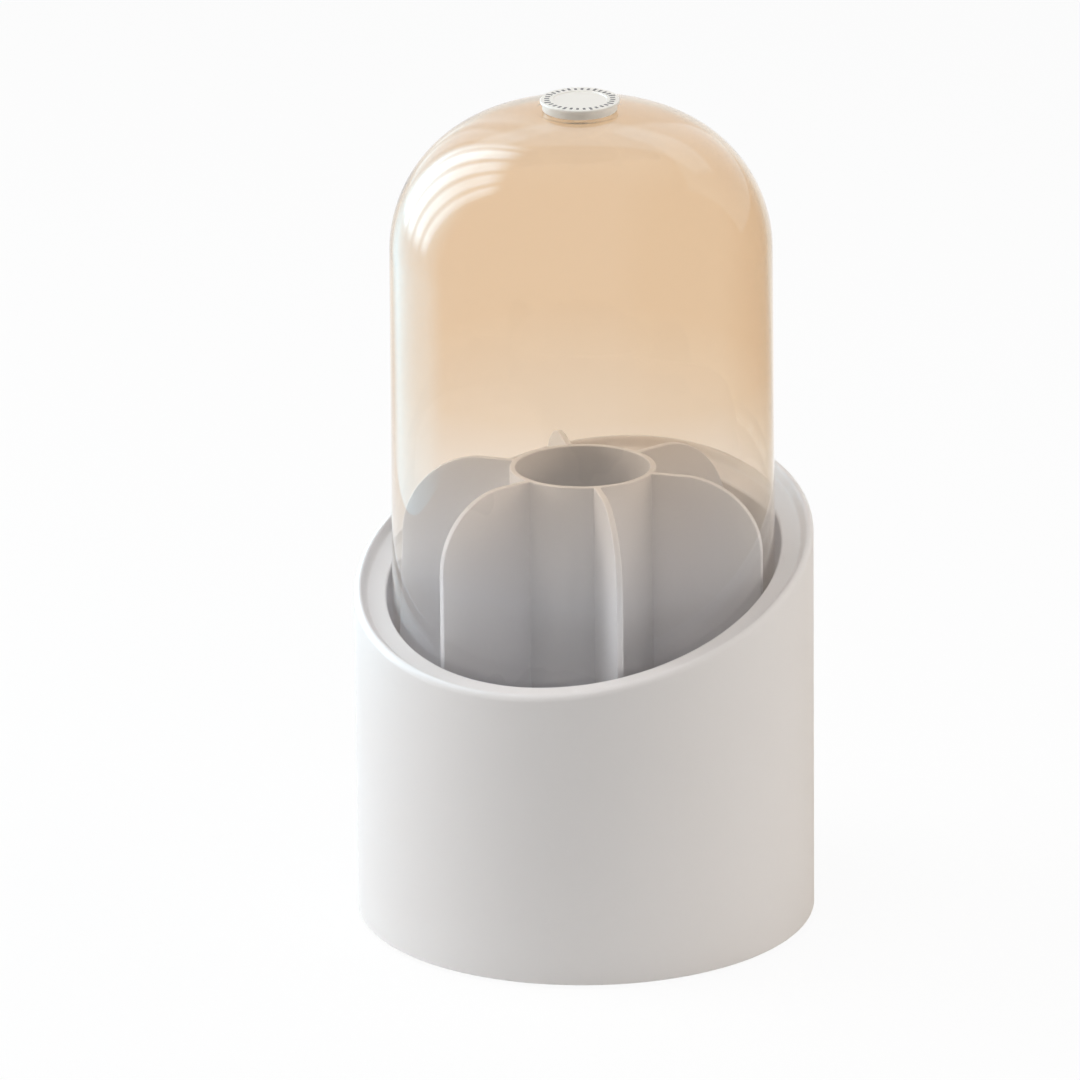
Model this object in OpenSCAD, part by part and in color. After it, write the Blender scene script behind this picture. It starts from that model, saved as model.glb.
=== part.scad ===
// Turning pot for brushes and make-up. A round base with a slanted rim holds a cup that
// turns on a ring of balls. A six-way divider stands in the cup, and a clear dome with
// a small knob rests on the cup's rim and lifts off.
// Millimetres, +Z up. The origin is on the table, on the pot's axis. The low side of
// the slanted rim faces -Y.

/* [Base shell] */
// Outer radius of the base
shell_r = 70; // [67:0.5:76]
// Thickness of the outer wall, the well wall and the rim
shell_wall = 2.2; // [1.8:0.1:2.6]
// Width of the rim, from the outer wall to the well
rim_w = 9.9; // [9.4:0.1:11]
// Height of the rim plane on the axis
rim_h = 114; // [108:0.5:125]
// Slope of the rim plane in degrees
rim_tilt = 17; // [8:0.5:19]
// Width of the raised lip around the rim
lip_w = 3.7; // [2.6:0.1:5]
// Height of the lip above the band inside it
lip_h = 2.2; // [0.8:0.1:3]
// Chamfer on the lower outer edge
edge_chamfer = 1; // [0.4:0.1:1.6]

/* [Bottom plate] */
// Thickness of the plate
plate_t = 2.4; // [2.2:0.1:3]
// Depth of the plate's underside inside the shell
plate_recess = 0.4; // [0.2:0.1:0.8]
// Clearance between the plate's parts and the shell
plate_gap = 0.2; // [0.1:0.05:0.4]
// Height of the ring that centres the well wall
locating_ring_h = 2; // [1:0.1:3]
// Thickness of that ring
locating_ring_t = 1.6; // [1.2:0.1:2.4]

/* [Feet] */
// Radius of a rubber foot
foot_r = 6; // [4:0.5:8]
// Thickness of a foot
foot_t = 2; // [1.8:0.1:3]
// Depth of the pocket that a foot is glued in
foot_pocket = 0.8; // [0.5:0.1:1]
// Distance of a foot's centre from the outer wall
foot_inset = 19; // [18:0.5:20]

/* [Screws] */
// Radius of a small screw's shank
screw_r = 1.2; // [1:0.05:1.4]
// Radius of a small screw's head
screw_head_r = 2.2; // [1.9:0.1:2.4]
// Height of a small screw's head
screw_head_h = 1.1; // [0.9:0.05:1.2]
// Length of the screws that hold the bottom plate
plate_screw_l = 10; // [7:0.5:12]
// Length of the screws that hold the cup
cup_screw_l = 7; // [6:0.1:7.4]
// Number of screws that hold the cup
cup_screws_n = 3; // [3:1:4]
// Distance of the cup's screws from the axis
cup_screw_circle_r = 26; // [22:0.5:32]
// Radius of the pivot screw's shank
pivot_screw_r = 1.5; // [1.3:0.1:2]
// Radius of the pivot screw's head
pivot_head_r = 3; // [2.6:0.1:4]
// Height of the pivot screw's head
pivot_head_h = 2; // [1.6:0.1:2.2]
// Length of the pivot screw
pivot_screw_l = 6.4; // [5:0.1:6.6]
// Clearance around a shank in its hole
shank_gap = 0.3; // [0.2:0.05:0.4]
// Clearance around a thread in its pilot hole
thread_gap = 0.05; // [0.03:0.01:0.1]
// Space beyond the tip of a screw
tip_gap = 0.4; // [0.2:0.1:0.8]
// Wall of a screw boss
boss_wall = 1.7; // [1.4:0.1:1.9]
// Width of a slot in a screw's cross recess
cross_w = 0.5; // [0.4:0.05:0.7]
// Depth of the cross recess
cross_d = 0.6; // [0.4:0.05:0.8]

/* [Ball ring] */
// Radius of a ball
ball_r = 2; // [1.75:0.05:2.25]
// Number of balls
ball_count = 16; // [12:1:20]
// Radius of the circle that the balls run on
race_r = 42; // [39:0.5:43]
// Width of a race
race_w = 8; // [6:0.5:9]
// Height of a race above its plate
race_h = 1.6; // [1.2:0.1:2]
// Depth of the groove in a race
groove_d = 1; // [0.8:0.05:1.2]
// Clearance between a ball and its groove
groove_gap = 0.05; // [0.03:0.01:0.1]
// Thickness of the ball cage
cage_t = 1.2; // [1:0.1:1.4]
// Clearance of a ball in the cage
cage_gap = 0.15; // [0.1:0.05:0.3]
// Width of the cage
cage_w = 9; // [7:0.5:10]

/* [Turntable] */
// Thickness of the turntable disc
disc_t = 2.4; // [2:0.1:3]
// Radius of the turntable's pivot pin
pin_r = 6; // [5:0.1:7]
// Running clearance of the pin in its bearing
pin_gap = 0.05; // [0.03:0.01:0.08]
// Length of the bearing
bearing_l = 3.8; // [3.4:0.1:4]
// Wall of the tower around the bearing and the washer
tower_wall = 2; // [1.6:0.1:3]
// Clearance between the tower and the turntable
tower_gap = 0.4; // [0.3:0.05:0.6]
// Radius of the pivot washer
washer_r = 9; // [8:0.1:10]
// Thickness of the pivot washer
washer_t = 0.8; // [0.6:0.1:0.9]
// Clearance around the washer
washer_gap = 1; // [0.6:0.1:1.5]
// Lift that the washer allows
lift_play = 0.2; // [0.1:0.05:0.3]

/* [Cup] */
// Running clearance of the cup in the well
cup_gap = 0.7; // [0.5:0.05:1]
// Thickness of the cup's wall
cup_wall = 2; // [1.6:0.1:2.2]
// Thickness of the cup's floor
cup_floor_t = 2; // [1.6:0.1:3]
// Height of the bosses under the floor
cup_boss_h = 4; // [3.6:0.1:6]
// Clearance between the turntable and the cup's skirt
skirt_gap = 0.3; // [0.2:0.05:0.5]
// Height of the seat for the dome
seat_h = 73; // [60:0.5:78]
// Height of the lip outside the seat
seat_lip_h = 2.5; // [1.5:0.1:4]
// Height of the thick ring at the cup's rim
seat_ring_h = 8; // [6:0.5:12]
// Height of the guide ribs above the floor
rib_h = 40; // [20:1:48]
// Thickness of a guide rib
rib_t = 1.2; // [1:0.1:1.6]
// Depth of a guide rib from the cup's wall
rib_d = 2; // [1.5:0.1:3]
// Height of the ring that centres the divider's tube
spigot_h = 4; // [3:0.5:8]
// Wall of that ring
spigot_wall = 1.6; // [1.2:0.1:2.4]

/* [Divider] */
// Outer radius of the centre tube
tube_r = 22; // [18:0.5:26]
// Wall of the centre tube
tube_wall = 1.8; // [1.4:0.1:2.4]
// Height of the divider above the cup's floor
divider_h = 128; // [110:1:140]
// Thickness of a fin
fin_t = 2; // [1.6:0.1:2.6]
// Number of fins
fin_count = 6; // [4:1:8]
// Direction of the first fin at rest, in degrees
fin_angle = 7.4; // [0:0.1:60]
// Radius of a fin's outer top corner
fin_corner_r = 24; // [12:0.5:30]
// Clearance between the fins and the dome
fin_gap = 0.6; // [0.5:0.05:1.2]
// Clearance of a fin in its guides
slot_gap = 0.25; // [0.15:0.05:0.4]
// Clearance between the fins and the cup's wall
fin_cup_gap = 0.4; // [0.3:0.05:0.5]
// Clearance of the tube on its centring ring
spigot_gap = 0.2; // [0.1:0.05:0.4]

/* [Dome] */
// Clearance between the dome and the well
dome_gap = 1.6; // [1.5:0.05:2]
// Wall of the dome
dome_wall = 1.5; // [1.2:0.1:1.8]
// Clearance between the dome's edge and the lip of its seat
dome_lip_gap = 0.15; // [0.1:0.05:0.2]
// Height at which the dome's side ends
side_top = 212.2; // [200:0.2:230]
// Draft of the dome's side in degrees
dome_draft = 0.25; // [0:0.05:0.3]
// Radius of the dome's shoulder
shoulder_r = 42.9; // [36:0.1:48]
// Radius of the dome's crown
crown_r = 95.3; // [70:0.1:130]
// Radius of the flat under the knob
pad_r = 13; // [12.6:0.1:15]

/* [Knob] */
// Radius of the knob's cap
knob_cap_r = 12; // [11.4:0.1:12.4]
// Thickness of the knob's cap
knob_cap_t = 1; // [0.8:0.1:1.6]
// Radius of the knob's body
knob_r = 11.3; // [9:0.1:11.3]
// Height of the knob's body
knob_h = 2.2; // [2:0.1:4]
// Chamfer on the cap's edge
knob_chamfer = 0.3; // [0.2:0.05:0.4]
// Depth of the knob's centre field
field_d = 0.2; // [0.1:0.05:0.3]
// Radius of the knob's centre field
field_r = 8.2; // [7:0.1:9]
// Radius of the knob's stem
stem_r = 3; // [2.8:0.1:3.4]
// Clearance of the stem in the dome
stem_gap = 0.1; // [0.05:0.05:0.2]
// Radius of the washer inside the dome
knob_washer_r = 5.5; // [4.5:0.1:7]
// Thickness of that washer
knob_washer_t = 1; // [0.8:0.1:1.4]
// Length of the knob's screw
knob_screw_l = 4; // [3.6:0.1:4.2]

/* [Hidden] */
$fn = 128;

// overlap of joined solids, reach of a cut past a face, and how far a screw boss is let
// into the well wall
EPS = 0.01;
CUT = 1;
BOSS_SINK = 1;
// steps along a quarter of an arc
ARC_STEPS = 24;
FOOT_COUNT = 4;
PLATE_SCREWS = 4;

// heights, from the table up
plate_z = foot_t - foot_pocket;
shell_z = plate_z - plate_recess;
plate_top = plate_z + plate_t;
race_low = plate_top + race_h;
ball_z = race_low + ball_r - groove_d;
race_high = ball_z + ball_r - groove_d;
disc_z = race_high + race_h;
disc_top = disc_z + disc_t;
tower_top = disc_z - tower_gap;
bearing_z = tower_top - bearing_l;
pin_end = bearing_z - lift_play;
washer_z = pin_end - washer_t;
cup_floor_z = disc_top + cup_boss_h;
floor_top = cup_floor_z + cup_floor_t;
divider_top = floor_top + divider_h;

// radii, from the outer wall in
well_r = shell_r - rim_w;
lip_r = shell_r - lip_w;
cavity_r = well_r + shell_wall;
foot_circle_r = shell_r - foot_inset;
plate_r = shell_r - shell_wall - plate_gap;
locating_ring_r = well_r - plate_gap;
boss_r = screw_r + thread_gap + boss_wall;
plate_screw_circle_r = cavity_r - BOSS_SINK + boss_r;
cup_r = well_r - cup_gap;
dome_r = well_r - dome_gap;
seat_r = dome_r + dome_lip_gap;
// inner radius of the dome at the height of the divider's top
dome_in_r = dome_r - dome_wall - (divider_top - seat_h) * tan(dome_draft);
fin_r = dome_in_r - fin_gap;
cup_in_r = fin_r + fin_cup_gap;
disc_r = cup_in_r - skirt_gap;
spigot_r = tube_r - tube_wall - spigot_gap;
washer_recess_r = washer_r + washer_gap;
tower_r = washer_recess_r + tower_wall;
pilot_r = screw_r + thread_gap;
clear_r = screw_r + shank_gap;

// dome outline: a drafted side, a shoulder arc and a crown arc that meet smoothly
side_top_r = dome_r - (side_top - seat_h) * tan(dome_draft);
shoulder_x = side_top_r - shoulder_r;
crown_z = side_top - sqrt(pow(crown_r - shoulder_r, 2) - pow(shoulder_x, 2));
meet_angle = atan2(side_top - crown_z, shoulder_x);
pad_z = crown_z + sqrt(pow(crown_r, 2) - pow(pad_r, 2));
knob_top = pad_z + knob_h + knob_cap_t;

// directions of the parts that repeat
function round_angle(i, n, first = 0) = first + i * 360 / n;

// points on an arc around [cx, cz] from angle a to angle b
function arc(cx, cz, r, a, b, n = ARC_STEPS) =
    [for (i = [0:n]) let (t = a + (b - a) * i / n) [cx + r * cos(t), cz + r * sin(t)]];

// right half of the dome's outline, moved inward by a wall
function dome_side(wall) = concat(
    [[dome_r - wall, seat_h]],
    arc(shoulder_x, side_top, shoulder_r - wall, 0, meet_angle),
    arc(0, crown_z, crown_r - wall, meet_angle,
        asin((pad_z - wall - crown_z) / (crown_r - wall))),
    [[0, pad_z - wall]]
);

// the space below the slanted rim plane, lowered by a drop
module below_rim(drop = 0) {
    reach = 2 * (shell_r + rim_h);
    translate([0, 0, rim_h - drop]) rotate([rim_tilt, 0, 0])
        translate([-reach / 2, -reach / 2, -reach]) cube(reach);
}

module ring(outer, inner, height) {
    difference() {
        cylinder(r = outer, h = height);
        translate([0, 0, -CUT]) cylinder(r = inner, h = height + 2 * CUT);
    }
}

// a set of n copies around the axis at a radius
module around(n, radius, first = 0) {
    for (i = [0:n - 1]) rotate([0, 0, round_angle(i, n, first)]) translate([radius, 0, 0]) children();
}

// a screw that points up, with the underside of its head at z = 0
module screw(shank, length, head, head_height) {
    difference() {
        union() {
            translate([0, 0, -EPS]) cylinder(r = shank, h = length + EPS);
            translate([0, 0, -head_height]) cylinder(r = head, h = head_height);
        }
        for (turn = [0, 90]) rotate([0, 0, turn])
            translate([-shank, -cross_w / 2, -head_height - CUT])
                cube([2 * shank, cross_w, cross_d + CUT]);
    }
}

// ---- base ----

module shell_bosses() {
    around(PLATE_SCREWS, plate_screw_circle_r, 45)
        translate([0, 0, plate_top]) cylinder(r = boss_r, h = plate_screw_l);
}

module outer_shell() {
    tall = rim_h + shell_r;
    color("white") difference() {
        union() {
            difference() {
                intersection() {
                    rotate_extrude() polygon([
                        [well_r, shell_z], [shell_r - edge_chamfer, shell_z],
                        [shell_r, shell_z + edge_chamfer], [shell_r, tall], [well_r, tall]
                    ]);
                    below_rim();
                }
                // the band inside the lip lies lower
                difference() {
                    cylinder(r = lip_r, h = tall);
                    below_rim(lip_h);
                }
                // the hollow between the two walls
                intersection() {
                    translate([0, 0, shell_z - CUT])
                        ring(shell_r - shell_wall, cavity_r, tall);
                    below_rim(lip_h + shell_wall / cos(rim_tilt));
                }
            }
            shell_bosses();
        }
        // room for the bottom plate
        translate([0, 0, shell_z - CUT])
            cylinder(r = shell_r - shell_wall, h = plate_top - shell_z + CUT);
        around(PLATE_SCREWS, plate_screw_circle_r, 45)
            translate([0, 0, plate_top - CUT])
                cylinder(r = pilot_r, h = plate_screw_l - plate_t / 2 + tip_gap + CUT);
    }
}

module bottom_plate() {
    head_recess = plate_t / 2;
    color("whitesmoke") difference() {
        union() {
            translate([0, 0, plate_z]) cylinder(r = plate_r, h = plate_t);
            translate([0, 0, plate_z])
                ring(race_r + race_w / 2, race_r - race_w / 2, race_low - plate_z);
            translate([0, 0, plate_z]) cylinder(r = tower_r, h = tower_top - plate_z);
            translate([0, 0, plate_z])
                ring(locating_ring_r, locating_ring_r - locating_ring_t, plate_t + locating_ring_h);
        }
        ball_groove();
        // bearing bore and the recess for the washer
        translate([0, 0, plate_z - CUT]) cylinder(r = pin_r + pin_gap, h = tower_top);
        translate([0, 0, plate_z - CUT])
            cylinder(r = washer_recess_r, h = bearing_z - plate_z + CUT);
        around(FOOT_COUNT, foot_circle_r)
            translate([0, 0, plate_z - CUT]) cylinder(r = foot_r, h = foot_pocket + CUT);
        around(PLATE_SCREWS, plate_screw_circle_r, 45) {
            translate([0, 0, plate_z - CUT]) cylinder(r = clear_r, h = plate_t + 2 * CUT);
            translate([0, 0, plate_z - CUT])
                cylinder(r = screw_head_r + thread_gap, h = head_recess + CUT);
        }
    }
}

module bottom_screws() {
    color("silver") around(PLATE_SCREWS, plate_screw_circle_r, 45)
        translate([0, 0, plate_z + plate_t / 2])
            screw(screw_r, plate_screw_l, screw_head_r, screw_head_h);
}

module foot(i) {
    color("lightgray") rotate([0, 0, round_angle(i, FOOT_COUNT)])
        translate([foot_circle_r, 0, 0]) cylinder(r = foot_r, h = foot_t);
}

// ---- ball ring ----

// the ring-shaped groove that the balls run in
module ball_groove() {
    rotate_extrude() translate([race_r, ball_z]) circle(r = ball_r + groove_gap);
}

module ball_cage() {
    color("ivory") difference() {
        translate([0, 0, ball_z - cage_t / 2])
            ring(race_r + cage_w / 2, race_r - cage_w / 2, cage_t);
        around(ball_count, race_r)
            translate([0, 0, ball_z - cage_t]) cylinder(r = ball_r + cage_gap, h = 2 * cage_t);
    }
}

module bearing_balls() {
    color("silver") around(ball_count, race_r) translate([0, 0, ball_z]) sphere(r = ball_r);
}

// ---- rotor ----

module turntable() {
    color("whitesmoke") difference() {
        union() {
            translate([0, 0, disc_z]) cylinder(r = disc_r, h = disc_t);
            translate([0, 0, race_high])
                ring(race_r + race_w / 2, race_r - race_w / 2, race_h + EPS);
            translate([0, 0, pin_end]) cylinder(r = pin_r, h = disc_z - pin_end + EPS);
        }
        ball_groove();
        translate([0, 0, pin_end - CUT])
            cylinder(r = pivot_screw_r + thread_gap, h = pivot_screw_l - washer_t + tip_gap + CUT);
        around(cup_screws_n, cup_screw_circle_r, 90)
            translate([0, 0, disc_z - CUT]) cylinder(r = clear_r, h = disc_t + 2 * CUT);
    }
}

module pivot_washer() {
    color("silver") translate([0, 0, washer_z])
        ring(washer_r, pivot_screw_r + thread_gap, washer_t);
}

module pivot_screw() {
    color("silver") translate([0, 0, washer_z])
        screw(pivot_screw_r, pivot_screw_l, pivot_head_r, pivot_head_h);
}

// pairs of ribs that hold each fin's outer edge
module guide_ribs() {
    slot = fin_t / 2 + slot_gap;
    intersection() {
        around(fin_count, 0, fin_angle) for (side = [-1, 1])
            translate([0, side * (slot + rib_t / 2) - rib_t / 2, floor_top - EPS])
                cube([cup_in_r + EPS, rib_t, rib_h + EPS]);
        translate([0, 0, cup_floor_z])
            ring(cup_in_r + cup_wall / 2, cup_in_r - rib_d, rib_h + cup_floor_t);
    }
}

module inner_cup() {
    ring_z = seat_h - seat_ring_h;
    wall_r = cup_in_r + cup_wall;
    color("white") {
        difference() {
            union() {
                rotate_extrude() polygon([
                    [0, cup_floor_z], [cup_in_r, cup_floor_z], [cup_in_r, disc_z],
                    [wall_r, disc_z], [wall_r, ring_z - (cup_r - wall_r)], [cup_r, ring_z],
                    [cup_r, seat_h + seat_lip_h], [seat_r, seat_h + seat_lip_h],
                    [seat_r, seat_h], [cup_in_r, seat_h], [cup_in_r, floor_top], [0, floor_top]
                ]);
                around(cup_screws_n, cup_screw_circle_r, 90)
                    translate([0, 0, disc_top]) cylinder(r = boss_r, h = cup_boss_h + EPS);
                translate([0, 0, floor_top - EPS])
                    ring(spigot_r, spigot_r - spigot_wall, spigot_h + EPS);
                guide_ribs();
            }
            around(cup_screws_n, cup_screw_circle_r, 90) translate([0, 0, disc_top - CUT])
                cylinder(r = pilot_r, h = cup_screw_l - disc_t + tip_gap + CUT);
        }
    }
}

module cup_screws() {
    color("silver") around(cup_screws_n, cup_screw_circle_r, 90)
        translate([0, 0, disc_z]) screw(screw_r, cup_screw_l, screw_head_r, screw_head_h);
}

// the tube and the fins, cut to the outline that they fill when they turn
module divider() {
    corner = fin_corner_r;
    fin_root = tube_r - tube_wall / 2;
    color("white") translate([0, 0, floor_top]) intersection() {
        linear_extrude(divider_h) difference() {
            union() {
                circle(r = tube_r);
                around(fin_count, fin_root, fin_angle)
                    translate([0, -fin_t / 2]) square([fin_r, fin_t]);
            }
            circle(r = tube_r - tube_wall);
        }
        rotate_extrude() difference() {
            square([fin_r, divider_h]);
            translate([fin_r - corner, divider_h - corner]) difference() {
                square(corner + CUT);
                circle(r = corner);
            }
        }
    }
}

// ---- lid ----

module dome() {
    color([0.86, 0.74, 0.6, 0.45]) difference() {
        rotate_extrude() polygon(concat([[0, seat_h]], dome_side(0)));
        rotate_extrude() polygon(concat(
            [[0, seat_h - CUT], [dome_r - dome_wall, seat_h - CUT]], dome_side(dome_wall)
        ));
        translate([0, 0, pad_z - 2 * dome_wall])
            cylinder(r = stem_r + stem_gap, h = 2 * dome_wall + CUT);
    }
}

module knob_body() {
    pilot_h = knob_screw_l - knob_washer_t + tip_gap / 2;
    color("white") difference() {
        union() {
            translate([0, 0, pad_z]) cylinder(r = knob_r, h = knob_h);
            translate([0, 0, pad_z - dome_wall]) cylinder(r = stem_r, h = dome_wall + EPS);
        }
        translate([0, 0, pad_z - dome_wall - CUT]) cylinder(r = pilot_r, h = pilot_h + CUT);
    }
}

module knob_cap() {
    z = pad_z + knob_h;
    color("white") rotate_extrude() polygon([
        [0, z], [knob_cap_r - knob_chamfer, z], [knob_cap_r, z + knob_chamfer],
        [knob_cap_r, knob_top - knob_chamfer], [knob_cap_r - knob_chamfer, knob_top],
        [field_r, knob_top], [field_r - field_d, knob_top - field_d], [0, knob_top - field_d]
    ]);
}

module knob_washer() {
    color("white") translate([0, 0, pad_z - dome_wall - knob_washer_t])
        ring(knob_washer_r, pilot_r, knob_washer_t);
}

module knob_screw() {
    color("silver") translate([0, 0, pad_z - dome_wall - knob_washer_t])
        screw(screw_r, knob_screw_l, screw_head_r, screw_head_h);
}

outer_shell();
bottom_plate();
bottom_screws();
for (i = [1:FOOT_COUNT]) foot(i - 1);
ball_cage();
bearing_balls();
turntable();
pivot_washer();
pivot_screw();
inner_cup();
cup_screws();
divider();
dome();
knob_body();
knob_cap();
knob_washer();
knob_screw();
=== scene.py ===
"""Looks of the turning make-up pot: a white base with a slanted rim, a white divider with a
centre tube and six fins, a clear amber dome and a small white knob."""

from math import asin, atan2, cos, degrees, pi, radians, sin, sqrt, tan

import bmesh
import bpy
from mathutils import Matrix, Vector


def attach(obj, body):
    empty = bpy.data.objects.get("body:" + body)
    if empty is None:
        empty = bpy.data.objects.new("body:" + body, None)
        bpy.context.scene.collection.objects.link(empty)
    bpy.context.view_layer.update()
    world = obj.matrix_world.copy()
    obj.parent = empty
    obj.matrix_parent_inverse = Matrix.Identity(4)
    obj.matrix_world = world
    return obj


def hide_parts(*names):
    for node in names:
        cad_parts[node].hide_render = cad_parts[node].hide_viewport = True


MM = 0.001

# ---- camera, as the photograph was taken ----
CAMERA_AZIMUTH = radians(26.43)
CAMERA_ELEVATION = radians(19.36)
CAMERA_DISTANCE = 3.678
CAMERA_ROLL = radians(0.549)
CAMERA_LENS = 403.4
CAMERA_SENSOR = 36.0
CAMERA_CLIP = (0.1, 30)
# the point on the axis that the distance is measured to, and how far right of it and above
# it the picture's centre lies
CAMERA_AXIS_POINT = Vector((0, 0, 130.8 * MM))
CAMERA_AIM_RIGHT = -13.21 * MM
CAMERA_AIM_UP = -10.98 * MM

# ---- sizes, the same as the solids ----
SHELL_R = 70 * MM
SHELL_WALL = 2.2 * MM
SHELL_Z = 0.8 * MM
WELL_R = 60.1 * MM
RIM_H = 114 * MM
RIM_SLOPE = tan(radians(17))
LIP_W = 3.7 * MM
LIP_H = 2.2 * MM
PLATE_TOP = 3.6 * MM

CUP_BOTTOM = 8.8 * MM
CUP_FLOOR_Z = 15.2 * MM
CUP_FLOOR_TOP = 17.2 * MM
CUP_R = 59.4 * MM
CUP_IN_R = 56.485 * MM
CUP_WALL = 2 * MM
SEAT_H = 73 * MM
SEAT_R = 58.65 * MM
SEAT_LIP_H = 2.5 * MM
SEAT_RING_H = 8 * MM
RIB_H = 40 * MM
RIB_T = 1.2 * MM
RIB_D = 2 * MM
SLOT_GAP = 0.25 * MM
SPIGOT_R = 20 * MM
SPIGOT_WALL = 1.6 * MM
SPIGOT_H = 4 * MM

TUBE_R = 22 * MM
TUBE_WALL = 1.8 * MM
DIVIDER_TOP = 145.2 * MM
FIN_R = 56.085 * MM
FIN_T = 2 * MM
FIN_COUNT = 6
FIN_ANGLE = radians(7.4)
FIN_CORNER_R = 24 * MM

DOME_R = 58.5 * MM
DOME_WALL = 1.5 * MM
SIDE_TOP = 212.2 * MM
DOME_DRAFT = radians(0.25)
SHOULDER_R = 42.9 * MM
CROWN_R = 95.3 * MM
PAD_R = 13 * MM
STEM_HOLE_R = 3.1 * MM

KNOB_R = 11.3 * MM
KNOB_H = 2.2 * MM
KNOB_CAP_R = 12 * MM
KNOB_CAP_T = 1 * MM
KNOB_FIELD_R = 8.2 * MM
KNOB_FIELD_D = 0.2 * MM
STEM_R = 3 * MM

FOOT_R = 6 * MM
FOOT_T = 2 * MM
FOOT_CIRCLE_R = 51 * MM
FOOT_COUNT = 4

# ---- how finely the shapes are cut ----
# steps round a turned piece
TURN_STEPS = 192
SHELL_TURN_STEPS = 256
TUBE_TURN_STEPS = 120
KNOB_TURN_STEPS = 128
FOOT_TURN_STEPS = 48
# steps along an arc of an outline
EDGE_STEPS = 4
SOFT_EDGE_STEPS = 5
BASE_EDGE_STEPS = 6
FILLET_STEPS = 8
BEAD_STEPS = 10
LIP_SLOPE_STEPS = 14
FIN_CORNER_STEPS = 18
CROWN_STEPS = 24
SHOULDER_STEPS = 40
# segments across a rounded edge
RIB_EDGE_SEGMENTS = 2
DIVIDER_EDGE_SEGMENTS = 3
# edges that turn by more than these are shaded sharp, and rounded by round_edges
SHARP_ANGLE = radians(32)
BEVEL_ANGLE = radians(40)

# ---- colours of the materials ----
SHELL_WHITE = (0.88, 0.85, 0.836)
DIVIDER_WHITE = (0.88, 0.885, 0.915)
INNER_WHITE = (0.84, 0.84, 0.83)
KNOB_WHITE = (0.92, 0.89, 0.83)
CAGE_PLASTIC = (0.78, 0.77, 0.72)
PRINT_DARK = (0.13, 0.12, 0.12)
STEEL_GREY = (0.6, 0.6, 0.61)
FOOT_GREY = (0.68, 0.68, 0.67)

# the dome's tint: nearly clear at the bottom, amber higher up, and deeper seen edge on
TINT_FROM = 118 * MM
TINT_FULL = 176 * MM
CLEAR_TINT = (0.97, 0.96, 0.95)
AMBER_TINT = (0.875, 0.735, 0.585)
CLEAR_EDGE_TINT = (0.91, 0.84, 0.75)
AMBER_EDGE_TINT = (0.71, 0.5, 0.28)
# where the tint turns from face on to edge on, as values of the layer weight
EDGE_TINT_RANGE = (0.35, 1)
# what the dome leaves of the light that falls through it on other pieces
CLEAR_SHADOW = (0.985, 0.98, 0.98)
AMBER_SHADOW = (0.95, 0.915, 0.88)

# ---- the room: its light on the part, and what gloss on the right-hand side shows of it ----
WHITE = (1.0, 1.0, 1.0)
ROOM_LIGHT = (0.06, 0.06, 0.06)
ROOM_GLOSS = (0.55, 0.47, 0.38)
# where that gloss fades in, from straight ahead, 0, to straight right, 1
ROOM_GLOSS_RANGE = (0.3, 0.65)
FLOOR_HALF = 6.0
FLOOR_COLOUR = (0.93, 0.93, 0.93)
FLOOR_ROUGH = 0.9
# how much of the floor's white is its own where it is seen; the rest takes the shadow
FLOOR_WHITE = 0.93

# ---- lamps ----
# heights on the pot's axis that they are aimed at
AIM_HEIGHT = 0.13
LOW_CARD_AIM_HEIGHT = 0.2
# share of a lamp's width and height over which it fades out at its edges
LAMP_FADE = (0.4, 0.4)
# how bright a card is where a slat of the blinds covers it
SLAT_DIM = 0.32

COOL = (0.96, 0.98, 0.99)
SKY = (0.55, 0.82, 1)
BLUE = (0.3, 0.74, 1)
WARM = (1, 0.955, 0.9)

# Cards show only in gloss. Each has a name, an angle in degrees to the right of the camera's
# direction, a distance and a height in metres, the height it is aimed at, its width and height,
# its power in watts, its colour, its fades and the number of slats across it.
CARDS = (
    ("window", -124, 1.34, 0.876, AIM_HEIGHT, (1.5, 2), 62, SKY, (0.2, 0.2), 5),
    ("left_card", -148, 1.35, 0.7, AIM_HEIGHT, (1.35, 1.35), 5.5, SKY, (0.2, 0.08), 4),
    ("low_card", -118, 0.36, 0.22, LOW_CARD_AIM_HEIGHT, (0.5, 0.6), 2.3, BLUE, (0.3, 0.3), 0),
    ("back_card", 175, 1.1, 1.25, AIM_HEIGHT, (2.6, 0.6), 3.6, SKY, (0.1, 0.2), 0),
    ("right_card", 138, 1.3, 0.8, AIM_HEIGHT, (1.5, 1.2), 3, SKY, (0.05, 0.05), 0),
)
# Lamps light the part and don't show in gloss. Each has the same values up to its colour.
LAMPS = (
    ("daylight", -100, 1.35, 0.6, AIM_HEIGHT, (1.6, 1.25), 34.5, COOL),
    ("fill", 88, 1.7, 0.7, AIM_HEIGHT, (1.9, 1.7), 37, WARM),
    ("top", -60, 0.35, 1.7, AIM_HEIGHT, (1.7, 1.7), 41, WHITE),
    ("front", 36, 1.8, 0.35, AIM_HEIGHT, (1.4, 0.7), 8, WARM),
)


# ---- shapes ----

def arc(centre, radius, start, end, steps):
    """Points on an arc in the (radius, height) plane, from one angle in degrees to another."""
    angles = [radians(start + (end - start) * i / steps) for i in range(steps + 1)]
    return [(centre[0] + radius * cos(a), centre[1] + radius * sin(a)) for a in angles]


def new_object(name, vertices, faces):
    """A mesh object in the frame's own coordinates, smooth where its faces meet gently."""
    mesh = bpy.data.meshes.new(name)
    mesh.from_pydata(vertices, [], faces)
    mesh.validate()
    shape = bmesh.new()
    shape.from_mesh(mesh)
    bmesh.ops.recalc_face_normals(shape, faces=shape.faces)
    shape.to_mesh(mesh)
    shape.free()
    piece = bpy.data.objects.new(name, mesh)
    bpy.context.scene.collection.objects.link(piece)
    mesh.shade_smooth()
    mesh.set_sharp_from_angle(angle=SHARP_ANGLE)
    return piece


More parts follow.
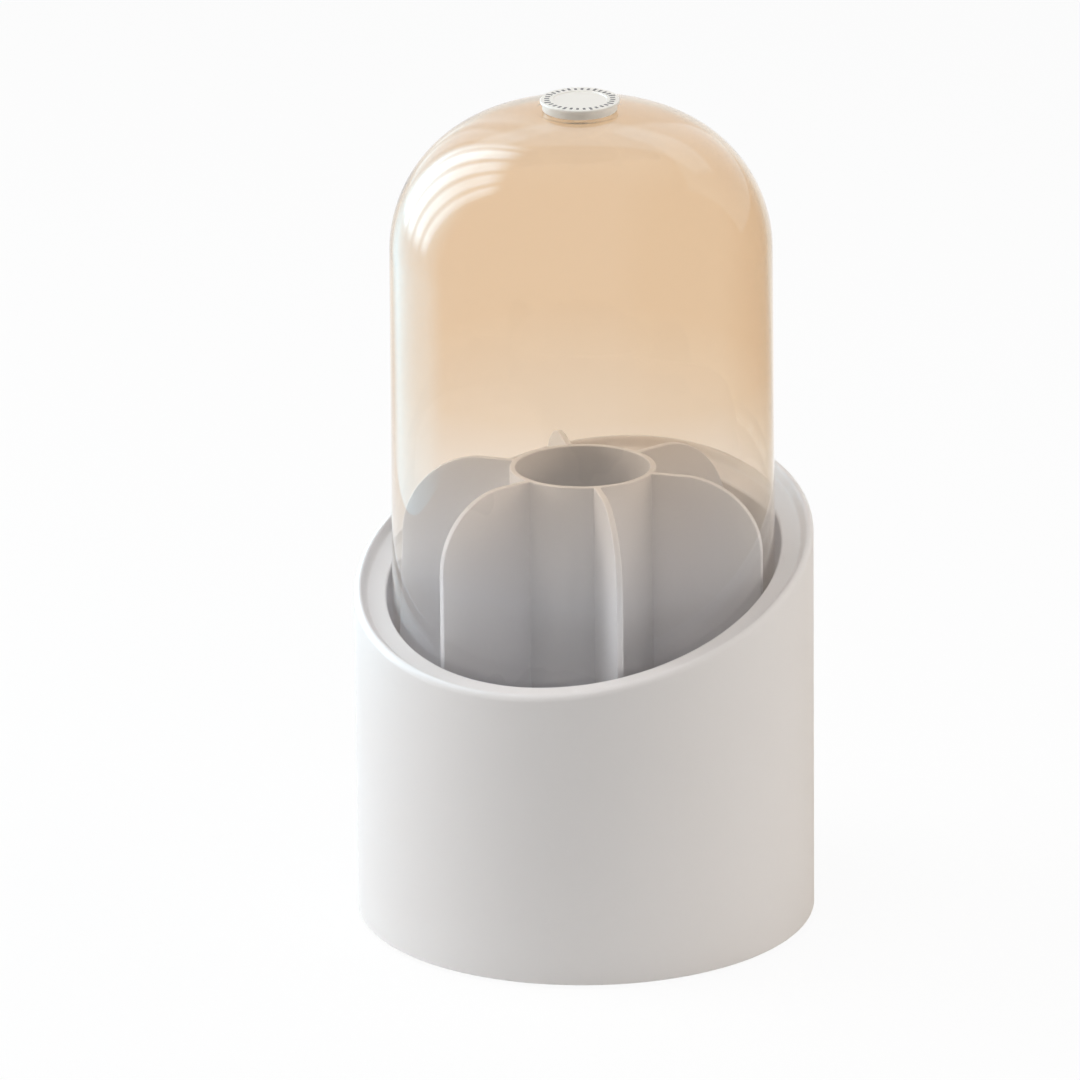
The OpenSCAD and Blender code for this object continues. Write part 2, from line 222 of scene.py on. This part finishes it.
def turned(name, outline, height=None, steps=TURN_STEPS):
    """A closed outline of (radius, height) points turned round the axis. height(point, angle)
    gives a point's height where it isn't the same all the way round."""
    vertices, rows = [], []
    for i in range(steps):
        angle = 2 * pi * i / steps
        row = []
        for j, point in enumerate(outline):
            if point[0] == 0 and i > 0:
                row.append(rows[0][j])
                continue
            z = height(point, angle) if height else point[1]
            row.append(len(vertices))
            vertices.append((point[0] * cos(angle), point[0] * sin(angle), z))
        rows.append(row)
    faces = []
    for i in range(steps):
        row, following = rows[i], rows[(i + 1) % steps]
        for j in range(len(outline)):
            k = (j + 1) % len(outline)
            corners = [row[j], following[j], following[k], row[k]]
            corners = list(dict.fromkeys(corners))
            if len(corners) > 2:
                faces.append(corners)
    return new_object(name, vertices, faces)


def prism(outline, thickness):
    """Vertices and faces of an outline in the (radius, height) plane, made a plate that stands
    along +X, centred on it."""
    n = len(outline)
    vertices = [(x, side * thickness / 2, z) for side in (-1, 1) for x, z in outline]
    faces = [list(range(n)), list(range(2 * n - 1, n - 1, -1))]
    faces += [[i, n + i, n + (i + 1) % n, (i + 1) % n] for i in range(n)]
    return vertices, faces


def add_modifier(piece, kind, **settings):
    """Adds a modifier with the given settings."""
    modifier = piece.modifiers.new(kind.lower(), kind)
    for key, value in settings.items():
        setattr(modifier, key, value)


def apply_modifiers(piece):
    """Makes the piece's modifiers part of its mesh."""
    graph = bpy.context.evaluated_depsgraph_get()
    mesh = bpy.data.meshes.new_from_object(piece.evaluated_get(graph))
    piece.modifiers.clear()
    piece.data = mesh


def round_edges(piece, width, segments):
    """Rounded edges with shading that keeps the flat faces flat."""
    add_modifier(piece, "BEVEL", width=width, segments=segments, limit_method="ANGLE",
                 angle_limit=BEVEL_ANGLE, use_clamp_overlap=True)
    add_modifier(piece, "WEIGHTED_NORMAL", keep_sharp=False)


def join(pieces, name):
    """One object from several, with their modifiers applied."""
    whole = bmesh.new()
    for piece in pieces:
        apply_modifiers(piece)
        whole.from_mesh(piece.data)
        bpy.data.objects.remove(piece)
    mesh = bpy.data.meshes.new(name)
    whole.to_mesh(mesh)
    whole.free()
    joined = bpy.data.objects.new(name, mesh)
    bpy.context.scene.collection.objects.link(joined)
    return joined


# ---- base ----

def rim_height(point, angle):
    """Height of a shell outline point: those of the rim follow its slanted plane."""
    radius, z = point[0], point[1]
    if len(point) > 2:
        return RIM_H + radius * sin(angle) * RIM_SLOPE + z
    return z


def make_shell():
    """The base's moulding: the wall, the slanted rim with its raised lip, and the well."""
    edge = 1 * MM
    bead = 1.7 * MM
    lip_foot = 0.7 * MM
    band_fall = 0.7 * MM
    inner_round = 0.9 * MM
    wall_in = SHELL_R - SHELL_WALL
    lip_r = SHELL_R - bead
    band_r = SHELL_R - LIP_W - lip_foot
    outline = arc((SHELL_R - edge, SHELL_Z + edge), edge, -90, 0, BASE_EDGE_STEPS)
    rim = arc((SHELL_R - bead, -bead), bead, 0, 90, BEAD_STEPS)
    # the lip's inner side eases down into the band
    for i in range(1, LIP_SLOPE_STEPS + 1):
        share = i / LIP_SLOPE_STEPS
        rim.append((lip_r + (band_r - lip_r) * share, -LIP_H * (1 - cos(pi * share)) / 2))
    low = -LIP_H - band_fall
    rim += arc((WELL_R + inner_round, low - inner_round), inner_round, 90, 180, FILLET_STEPS)
    outline += [(r, z, "rim") for r, z in rim]
    outline += [(WELL_R, PLATE_TOP), (wall_in, PLATE_TOP), (wall_in, SHELL_Z)]
    return turned("shell", outline, rim_height, SHELL_TURN_STEPS)


def make_foot(index):
    """One of the rubber feet."""
    edge = 0.5 * MM
    outline = [(0, 0)] + arc((FOOT_R - edge, edge), edge, -90, 0, SOFT_EDGE_STEPS)
    outline += [(FOOT_R, FOOT_T), (0, FOOT_T)]
    foot = turned(f"rubber_foot_{index + 1}", outline, steps=FOOT_TURN_STEPS)
    angle = 2 * pi * index / FOOT_COUNT
    place = Vector((FOOT_CIRCLE_R * cos(angle), FOOT_CIRCLE_R * sin(angle), 0))
    foot.data.transform(Matrix.Translation(place))
    return foot


# ---- rotor ----

def fin_angle(index):
    """The angle round the axis at which a fin stands."""
    return FIN_ANGLE + 2 * pi * index / FIN_COUNT


def make_cup():
    """The cup, with the dome's seat round its top and the divider's spigot on its floor."""
    edge = 0.4 * MM
    lip_edge = edge * 0.8
    fillet = 1.5 * MM
    wall_r = CUP_IN_R + CUP_WALL
    lip_top = SEAT_H + SEAT_LIP_H
    ring_z = SEAT_H - SEAT_RING_H
    spigot_in = SPIGOT_R - SPIGOT_WALL
    spigot_top = CUP_FLOOR_TOP + SPIGOT_H
    outline = [(0, CUP_FLOOR_Z), (CUP_IN_R, CUP_FLOOR_Z)]
    outline += [(CUP_IN_R, CUP_BOTTOM), (wall_r, CUP_BOTTOM)]
    outline += [(wall_r, ring_z - (CUP_R - wall_r)), (CUP_R, ring_z)]
    outline += arc((CUP_R - lip_edge, lip_top - lip_edge), lip_edge, 0, 90, EDGE_STEPS)
    outline += [(SEAT_R, lip_top), (SEAT_R, SEAT_H), (CUP_IN_R + edge, SEAT_H)]
    outline += arc((CUP_IN_R + edge, SEAT_H - edge), edge, 90, 180, EDGE_STEPS)[1:]
    outline += arc((CUP_IN_R - fillet, CUP_FLOOR_TOP + fillet), fillet, 0, -90, FILLET_STEPS)
    outline += [(SPIGOT_R, CUP_FLOOR_TOP)]
    outline += arc((SPIGOT_R - edge, spigot_top - edge), edge, 0, 90, EDGE_STEPS)
    outline += arc((spigot_in + edge, spigot_top - edge), edge, 90, 180, EDGE_STEPS)
    outline += [(spigot_in, CUP_FLOOR_TOP), (0, CUP_FLOOR_TOP)]
    return turned("cup", outline)


def make_rib(name, angle, side):
    """One of the two ribs that hold a fin's outer edge."""
    lead = 3 * MM
    edge = 0.25 * MM
    top = CUP_FLOOR_TOP + RIB_H
    inner = CUP_IN_R - RIB_D
    outer = CUP_IN_R + CUP_WALL / 2
    outline = [(inner, CUP_FLOOR_Z), (outer, CUP_FLOOR_Z), (outer, top)]
    outline += [(CUP_IN_R, top), (inner, top - lead)]
    rib = new_object(name, *prism(outline, RIB_T))
    offset = side * (FIN_T / 2 + SLOT_GAP + RIB_T / 2)
    rib.data.transform(Matrix.Rotation(angle, 4, "Z") @ Matrix.Translation((0, offset, 0)))
    round_edges(rib, edge, RIB_EDGE_SEGMENTS)
    return rib


def make_divider():
    """The tube and the fins as one solid with rounded edges and small fillets at the roots."""
    edge = 0.45 * MM
    corner = FIN_CORNER_R
    base = CUP_FLOOR_TOP
    top = DIVIDER_TOP
    root = TUBE_R - TUBE_WALL / 2
    tube_in = TUBE_R - TUBE_WALL
    fin_outline = [(root, base), (FIN_R, base)]
    fin_outline += arc((FIN_R - corner, top - corner), corner, 0, 90, FIN_CORNER_STEPS)
    fin_outline += [(root, top)]
    fins = []
    for i in range(FIN_COUNT):
        fin = new_object(f"fin_{i}", *prism(fin_outline, FIN_T))
        fin.data.transform(Matrix.Rotation(fin_angle(i), 4, "Z"))
        fins.append(fin)
    fins = join(fins, "fins")
    tube_outline = [(tube_in, base), (TUBE_R, base), (TUBE_R, top), (tube_in, top)]
    divider = turned("divider_body", tube_outline, steps=TUBE_TURN_STEPS)
    add_modifier(divider, "BOOLEAN", operation="UNION", solver="EXACT", object=fins)
    apply_modifiers(divider)
    bpy.data.objects.remove(fins)
    divider.data.shade_smooth()
    round_edges(divider, edge, DIVIDER_EDGE_SEGMENTS)
    apply_modifiers(divider)
    return divider


# ---- lid ----

def dome_outline(wall):
    """The dome's outline, moved in by a wall, from its flat top down to its lower edge, and the
    height of that top."""
    side_top_r = DOME_R - (SIDE_TOP - SEAT_H) * tan(DOME_DRAFT)
    shoulder_x = side_top_r - SHOULDER_R
    crown_z = SIDE_TOP - sqrt((CROWN_R - SHOULDER_R) ** 2 - shoulder_x ** 2)
    pad_z = crown_z + sqrt(CROWN_R ** 2 - PAD_R ** 2)
    meet = degrees(atan2(SIDE_TOP - crown_z, shoulder_x))
    pad_angle = degrees(asin((pad_z - wall - crown_z) / (CROWN_R - wall)))
    points = [(STEM_HOLE_R, pad_z - wall)]
    points += arc((0, crown_z), CROWN_R - wall, pad_angle, meet, CROWN_STEPS)
    points += arc((shoulder_x, SIDE_TOP), SHOULDER_R - wall, meet, 0, SHOULDER_STEPS)[1:]
    return points, pad_z


def make_dome():
    """The dome, and the height of the flat pad that the knob stands on."""
    edge = 0.35 * MM
    outside, pad_z = dome_outline(0)
    inside, _ = dome_outline(DOME_WALL)
    rim = arc((DOME_R - edge, SEAT_H + edge), edge, 0, -90, EDGE_STEPS)
    rim += arc((DOME_R - DOME_WALL + edge, SEAT_H + edge), edge, -90, -180, EDGE_STEPS)
    return turned("clear_dome", outside + rim + inside[::-1]), pad_z


def make_knob(z):
    """The knob's body, with its stem down through the dome."""
    edge = 0.25 * MM
    top = z + KNOB_H
    outline = [(0, z - DOME_WALL), (STEM_R, z - DOME_WALL), (STEM_R, z), (KNOB_R - edge, z)]
    outline += arc((KNOB_R - edge, z + edge), edge, -90, 0, EDGE_STEPS)[1:]
    outline += [(KNOB_R, top), (0, top)]
    return turned("knob_base", outline, steps=KNOB_TURN_STEPS)


def make_cap(z):
    """The knob's cap, with a shallow round field in its top."""
    edge = 0.3 * MM
    top = z + KNOB_CAP_T
    field_z = top - KNOB_FIELD_D
    outline = [(0, z)] + arc((KNOB_CAP_R - edge, z + edge), edge, -90, 0, SOFT_EDGE_STEPS)
    outline += arc((KNOB_CAP_R - edge, top - edge), edge, 0, 90, SOFT_EDGE_STEPS)
    outline += [(KNOB_FIELD_R, top), (KNOB_FIELD_R - KNOB_FIELD_D, field_z), (0, field_z)]
    return turned("knob_top", outline, steps=KNOB_TURN_STEPS)


def make_ticks(z):
    """A ring of plain radial marks printed on the knob's cap, each fourth one longer."""
    count, long_every = 32, 4
    inner, outer = 9.2 * MM, 11.2 * MM
    short_by = 0.5 * MM
    width = 0.8 * MM
    thickness = 0.04 * MM
    box_faces = ((3, 2, 1, 0), (4, 5, 6, 7), (0, 1, 5, 4), (1, 2, 6, 5), (2, 3, 7, 6), (3, 0, 4, 7))
    vertices, faces = [], []
    for i in range(count):
        angle = 2 * pi * i / count
        reach = outer if i % long_every == 0 else outer - short_by
        start = len(vertices)
        for height in (z - thickness, z + thickness):
            for r, side in ((inner, -1), (reach, -1), (reach, 1), (inner, 1)):
                across = side * width / 2
                vertices.append((r * cos(angle) - across * sin(angle),
                                 r * sin(angle) + across * cos(angle), height))
        faces += [[start + k for k in face] for face in box_faces]
    return new_object("knob_ticks", vertices, faces)


# ---- material nodes ----

def node_material(name):
    """A new material, with its nodes, their links and its shader."""
    material = bpy.data.materials.new(name)
    material.use_nodes = True
    nodes = material.node_tree.nodes
    return material, nodes, material.node_tree.links, nodes["Principled BSDF"]


def noise(nodes, links, place, scale, detail):
    """Noise in the frame's coordinates, as values from 0 to 1."""
    texture = nodes.new("ShaderNodeTexNoise")
    texture.inputs["Scale"].default_value = scale
    texture.inputs["Detail"].default_value = detail
    links.new(place.outputs["Object"], texture.inputs["Vector"])
    return texture.outputs["Fac"]


def ranged(nodes, links, socket, low, high, start=0.0, end=1.0, how="LINEAR"):
    """The socket's values from start to end, as values from low to high."""
    mapping = nodes.new("ShaderNodeMapRange")
    mapping.interpolation_type = how
    mapping.inputs["From Min"].default_value = start
    mapping.inputs["From Max"].default_value = end
    mapping.inputs["To Min"].default_value = low
    mapping.inputs["To Max"].default_value = high
    links.new(socket, mapping.inputs["Value"])
    return mapping.outputs["Result"]


def mixed(nodes, links, factor, first, second):
    """Two colours mixed by a factor. Each is three numbers or another node's colour."""
    mix = nodes.new("ShaderNodeMix")
    mix.data_type = "RGBA"
    colour_inputs = [socket for socket in mix.inputs if socket.type == "RGBA"]
    for socket, colour in zip(colour_inputs, (first, second)):
        if isinstance(colour, tuple):
            socket.default_value = (*colour, 1)
        else:
            links.new(colour, socket)
    links.new(factor, mix.inputs["Factor"])
    return [socket for socket in mix.outputs if socket.type == "RGBA"][0]


def worked_out(nodes, links, operation, *values):
    """The result of a maths node. Each value is a number or another node's output."""
    node = nodes.new("ShaderNodeMath")
    node.operation = operation
    for socket, value in zip(node.inputs, values):
        if isinstance(value, (int, float)):
            socket.default_value = value
        else:
            links.new(value, socket)
    return node.outputs[0]


def mixed_shaders(nodes, links, factor, first, second):
    """Two shaders mixed by a factor."""
    mix = nodes.new("ShaderNodeMixShader")
    links.new(factor, mix.inputs["Fac"])
    links.new(first, mix.inputs[1])
    links.new(second, mix.inputs[2])
    return mix.outputs["Shader"]


def add_bump(nodes, links, shader, height, distance, strength=1.0):
    """Lets a value from 0 to 1 roughen the surface by a distance."""
    bump = nodes.new("ShaderNodeBump")
    bump.inputs["Distance"].default_value = distance
    bump.inputs["Strength"].default_value = strength
    links.new(height, bump.inputs["Height"])
    links.new(bump.outputs["Normal"], shader.inputs["Normal"])


# ---- materials ----

def moulded(name, colour, rough):
    """Moulded plastic: a fine grain, faint flow marks and uneven gloss."""
    flow_scale, flow_detail, flow_tone = 18, 3, 0.02
    flow_low, flow_high = 0.3, 0.7
    glossier, duller = 0.05, 0.06
    grain_scale, grain_detail, grain_depth = 1400, 2, 0.012 * MM
    material, nodes, links, shader = node_material(name)
    place = nodes.new("ShaderNodeTexCoord")
    flow = noise(nodes, links, place, flow_scale, flow_detail)
    grain = noise(nodes, links, place, grain_scale, grain_detail)
    dark = tuple(c * (1 - flow_tone) for c in colour)
    links.new(mixed(nodes, links, flow, dark, colour), shader.inputs["Base Color"])
    links.new(ranged(nodes, links, flow, rough - glossier, rough + duller, flow_low, flow_high),
              shader.inputs["Roughness"])
    add_bump(nodes, links, shader, grain, grain_depth)
    shader.inputs["IOR"].default_value = 1.5
    return material


def clear_amber(name):
    """Clear plastic with an amber tint that deepens upwards from the pot's rim and where it is
    seen edge on. Light for other pieces passes straight through it, faintly tinted."""
    wave_scale, wave_detail, wave_depth, wave_strength = 22, 2, 0.25 * MM, 0.5
    material, nodes, links, shader = node_material(name)
    place = nodes.new("ShaderNodeTexCoord")
    split = nodes.new("ShaderNodeSeparateXYZ")
    links.new(place.outputs["Object"], split.inputs["Vector"])
    depth = ranged(nodes, links, split.outputs["Z"], 0, 1, TINT_FROM, TINT_FULL)
    facing = nodes.new("ShaderNodeLayerWeight")
    facing.inputs["Blend"].default_value = 0.5
    edge = ranged(nodes, links, facing.outputs["Facing"], 0, 1, *EDGE_TINT_RANGE)
    face_on = mixed(nodes, links, depth, CLEAR_TINT, AMBER_TINT)
    edge_on = mixed(nodes, links, depth, CLEAR_EDGE_TINT, AMBER_EDGE_TINT)
    links.new(mixed(nodes, links, edge, face_on, edge_on), shader.inputs["Base Color"])
    shader.inputs["Transmission Weight"].default_value = 1
    shader.inputs["Roughness"].default_value = 0.02
    shader.inputs["IOR"].default_value = 1.45
    wave = noise(nodes, links, place, wave_scale, wave_detail)
    add_bump(nodes, links, shader, wave, wave_depth, wave_strength)
    path = nodes.new("ShaderNodeLightPath")
    passing = nodes.new("ShaderNodeBsdfTransparent")
    links.new(mixed(nodes, links, depth, CLEAR_SHADOW, AMBER_SHADOW), passing.inputs["Color"])
    surface = shader.outputs["BSDF"]
    for ray in ("Is Diffuse Ray", "Is Shadow Ray"):
        surface = mixed_shaders(nodes, links, path.outputs[ray], surface, passing.outputs["BSDF"])
    links.new(surface, nodes["Material Output"].inputs["Surface"])
    return material


def metal(name, colour, rough):
    """Bright plated steel with fine uneven gloss."""
    streak_scale, streak_detail, streak_depth = 900, 3, 0.004 * MM
    glossier, duller = 0.08, 0.1
    material, nodes, links, shader = node_material(name)
    place = nodes.new("ShaderNodeTexCoord")
    streak = noise(nodes, links, place, streak_scale, streak_detail)
    links.new(ranged(nodes, links, streak, rough - glossier, rough + duller),
              shader.inputs["Roughness"])
    shader.inputs["Base Color"].default_value = (*colour, 1)
    shader.inputs["Metallic"].default_value = 1
    add_bump(nodes, links, shader, streak, streak_depth)
    return material


def rubber(name, colour, rough):
    """Matt rubber with a fine grain."""
    grain_scale, grain_detail, grain_depth = 2200, 2, 0.03 * MM
    dark_share = 0.92
    material, nodes, links, shader = node_material(name)
    place = nodes.new("ShaderNodeTexCoord")
    grain = noise(nodes, links, place, grain_scale, grain_detail)
    dark = tuple(c * dark_share for c in colour)
    links.new(mixed(nodes, links, grain, dark, colour), shader.inputs["Base Color"])
    shader.inputs["Roughness"].default_value = rough
    add_bump(nodes, links, shader, grain, grain_depth)
    return material


def dress(piece, body, material, slot_name, *nodes):
    """Gives a piece its material, puts it on its body and hides the nodes it stands for. slot_name is
    not used.
    """
    piece.data.materials.clear()
    piece.data.materials.append(material)
    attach(piece, body)
    if nodes:
        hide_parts(*nodes)


# ---- surroundings ----

def add_camera():
    """The photograph's camera."""
    sideways = Vector((cos(CAMERA_AZIMUTH), sin(CAMERA_AZIMUTH), 0))
    level = Vector((-sin(CAMERA_AZIMUTH), cos(CAMERA_AZIMUTH), 0))
    forward = level * cos(CAMERA_ELEVATION) - Vector((0, 0, sin(CAMERA_ELEVATION)))
    upward = sideways.cross(forward)
    place = CAMERA_AXIS_POINT - forward * CAMERA_DISTANCE
    aim = CAMERA_AXIS_POINT + sideways * CAMERA_AIM_RIGHT + upward * CAMERA_AIM_UP
    data = bpy.data.cameras.new("camera")
    data.lens = CAMERA_LENS
    data.sensor_width = CAMERA_SENSOR
    data.clip_start, data.clip_end = CAMERA_CLIP
    camera = bpy.data.objects.new("camera", data)
    bpy.context.scene.collection.objects.link(camera)
    turn = (aim - place).to_track_quat("-Z", "Y").to_matrix().to_4x4()
    roll = Matrix.Rotation(-CAMERA_ROLL, 4, "Z")
    camera.matrix_world = Matrix.Translation(place) @ turn @ roll
    bpy.context.scene.camera = camera


def from_camera(angle, distance, height):
    """A point round the pot, at an angle to the right of the camera's direction."""
    turn = CAMERA_AZIMUTH + radians(angle)
    return Vector((sin(turn) * distance, -cos(turn) * distance, height))


def room_colour(nodes, links, path, coordinates):
    """What gloss and clear plastic show of the room: white through clear plastic, and in gloss
    white on the left, warmer and darker on the right."""
    direction = nodes.new("ShaderNodeVectorMath")
    direction.operation = "NORMALIZE"
    links.new(coordinates, direction.inputs[0])
    side = nodes.new("ShaderNodeVectorMath")
    side.operation = "DOT_PRODUCT"
    side.inputs[1].default_value = from_camera(90, 1, 0)
    links.new(direction.outputs["Vector"], side.inputs[0])
    rightness = ranged(nodes, links, side.outputs["Value"], 0, 1, *ROOM_GLOSS_RANGE)
    gloss = mixed(nodes, links, rightness, WHITE, ROOM_GLOSS)
    return mixed(nodes, links, path.outputs["Is Transmission Ray"], gloss, WHITE)


def shown_in_part(nodes, links, path):
    """1 where the ray comes off gloss or out of clear plastic, else 0."""
    return worked_out(nodes, links, "MAXIMUM", path.outputs["Is Glossy Ray"],
                      path.outputs["Is Transmission Ray"])


def add_world():
    """A world that is white where it is seen, shows the room in gloss and through clear plastic,
    and otherwise gives only a little light."""
    world = bpy.data.worlds.new("studio")
    bpy.context.scene.world = world
    world.use_nodes = True
    nodes, links = world.node_tree.nodes, world.node_tree.links
    path = nodes.new("ShaderNodeLightPath")
    place = nodes.new("ShaderNodeTexCoord")
    room = room_colour(nodes, links, path, place.outputs["Generated"])
    light = mixed(nodes, links, shown_in_part(nodes, links, path), ROOM_LIGHT, room)
    colour = mixed(nodes, links, path.outputs["Is Camera Ray"], light, WHITE)
    links.new(colour, nodes["Background"].inputs["Color"])


def add_floor():
    """A white floor that takes the part's shadow and shows like the world in gloss and clear
    plastic."""
    vertices = [(x * FLOOR_HALF, y * FLOOR_HALF, 0) for x, y in ((-1, -1), (1, -1), (1, 1), (-1, 1))]
    floor = new_object("floor", vertices, [[0, 1, 2, 3]])
    material, nodes, links, shader = node_material("floor_white")
    shader.inputs["Base Color"].default_value = (*FLOOR_COLOUR, 1)
    shader.inputs["Roughness"].default_value = FLOOR_ROUGH
    path = nodes.new("ShaderNodeLightPath")
    place = nodes.new("ShaderNodeTexCoord")
    room = room_colour(nodes, links, path, place.outputs["Object"])
    shown = shown_in_part(nodes, links, path)
    white = nodes.new("ShaderNodeEmission")
    links.new(mixed(nodes, links, shown, WHITE, room), white.inputs["Color"])
    seen = ranged(nodes, links, path.outputs["Is Camera Ray"], 0, FLOOR_WHITE)
    own_white = worked_out(nodes, links, "MAXIMUM", seen, shown)
    surface = mixed_shaders(nodes, links, own_white, shader.outputs["BSDF"], white.outputs["Emission"])
    links.new(surface, nodes["Material Output"].inputs["Surface"])
    floor.data.materials.append(material)


# ---- lamps ----

def edge_fade(nodes, links, across, width):
    """1 in the middle of a lamp and 0 at its two edges, which are at 0 and 1 across it."""
    middle = 0.5
    offset = worked_out(nodes, links, "SUBTRACT", across, middle)
    distance = worked_out(nodes, links, "ABSOLUTE", offset)
    return ranged(nodes, links, distance, 1, 0, middle - width, middle, "SMOOTHSTEP")


def soften_lamp(data, fade, slats):
    """Fades a lamp towards its edges and, with slats, lays blinds across it."""
    data.use_nodes = True
    nodes, links = data.node_tree.nodes, data.node_tree.links
    place = nodes.new("ShaderNodeNewGeometry")
    split = nodes.new("ShaderNodeSeparateXYZ")
    links.new(place.outputs["Parametric"], split.inputs["Vector"])
    strength = worked_out(nodes, links, "MULTIPLY",
                          edge_fade(nodes, links, split.outputs["X"], fade[0]),
                          edge_fade(nodes, links, split.outputs["Y"], fade[1]))
    if slats:
        turn = worked_out(nodes, links, "MULTIPLY", split.outputs["X"], 2 * pi * slats)
        wave = worked_out(nodes, links, "SINE", turn)
        blinds = ranged(nodes, links, wave, SLAT_DIM, 1, -1, 0)
        strength = worked_out(nodes, links, "MULTIPLY", strength, blinds)
    links.new(strength, nodes["Emission"].inputs["Strength"])


def add_softbox(name, angle, distance, height, aim_height, size, power, colour,
                fade=LAMP_FADE, slats=0):
    """A rectangular lamp round the pot that the camera doesn't see."""
    data = bpy.data.lights.new(name, "AREA")
    data.shape = "RECTANGLE"
    data.size, data.size_y = size
    data.energy = power
    data.color = colour
    soften_lamp(data, fade, slats)
    lamp = bpy.data.objects.new(name, data)
    bpy.context.scene.collection.objects.link(lamp)
    place = from_camera(angle, distance, height)
    turn = (Vector((0, 0, aim_height)) - place).to_track_quat("-Z", "Y").to_matrix().to_4x4()
    lamp.matrix_world = Matrix.Translation(place) @ turn
    lamp.visible_camera = False
    lamp.visible_transmission = False
    return lamp


def add_lights():
    """The cards that gloss shows, a window on the left among them, and the lamps."""
    for card in CARDS:
        add_softbox(*card).visible_diffuse = False
    for lamp in LAMPS:
        add_softbox(*lamp).visible_glossy = False


# ---- the part ----

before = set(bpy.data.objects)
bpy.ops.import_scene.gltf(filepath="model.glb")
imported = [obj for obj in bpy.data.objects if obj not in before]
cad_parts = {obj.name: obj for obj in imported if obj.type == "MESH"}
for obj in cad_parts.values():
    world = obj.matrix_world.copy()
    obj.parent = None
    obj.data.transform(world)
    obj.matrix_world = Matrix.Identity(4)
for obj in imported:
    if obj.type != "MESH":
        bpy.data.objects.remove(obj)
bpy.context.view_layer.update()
add_camera()

shell_white = moulded("shell_plastic", SHELL_WHITE, 0.4)
divider_white = moulded("divider_plastic", DIVIDER_WHITE, 0.3)
inner_white = moulded("inner_plastic", INNER_WHITE, 0.5)
knob_white = moulded("knob_plastic", KNOB_WHITE, 0.3)
cage_plastic = moulded("cage_plastic", CAGE_PLASTIC, 0.5)
print_dark = moulded("print_dark", PRINT_DARK, 0.5)
amber = clear_amber("dome_plastic")
steel = metal("plated_steel", STEEL_GREY, 0.3)
foot_rubber = rubber("foot_rubber", FOOT_GREY, 0.75)

dress(make_shell(), "base", shell_white, "shell_white", "outer_shell")
for index in range(FOOT_COUNT):
    dress(make_foot(index), "base", foot_rubber, "foot_rubber", f"foot_{index + 1}")

dress(make_cup(), "rotor", divider_white, "divider_white", "inner_cup")
for index in range(FIN_COUNT):
    for number, side in ((2 * index + 1, -1), (2 * index + 2, 1)):
        rib = make_rib(f"guide_rib_{number}", fin_angle(index), side)
        dress(rib, "rotor", divider_white, "divider_white", "inner_cup")
dress(make_divider(), "rotor", divider_white, "divider_white", "divider")

dome, pad_z = make_dome()
cap_z = pad_z + KNOB_H
dress(dome, "lid", amber, "dome_clear", "dome")
dress(make_knob(pad_z), "lid", knob_white, "knob_white", "knob_body")
dress(make_cap(cap_z), "lid", knob_white, "knob_white", "knob_cap")
dress(make_ticks(cap_z + KNOB_CAP_T), "lid", print_dark, "knob_mark")

# the nodes that show the solids' own meshes
CARRIED_OVER = {
    "bottom_plate": inner_white, "turntable": inner_white, "knob_washer": inner_white,
    "ball_cage": cage_plastic, "bearing_balls": steel, "bottom_screws": steel,
    "cup_screws": steel, "pivot_screw": steel, "pivot_washer": steel, "knob_screw": steel,
}
for node_name, material in CARRIED_OVER.items():
    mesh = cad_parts[node_name].data
    mesh.materials.clear()
    mesh.materials.append(material)

add_world()
add_floor()
add_lights()
bpy.context.scene.view_settings.view_transform = "Standard"
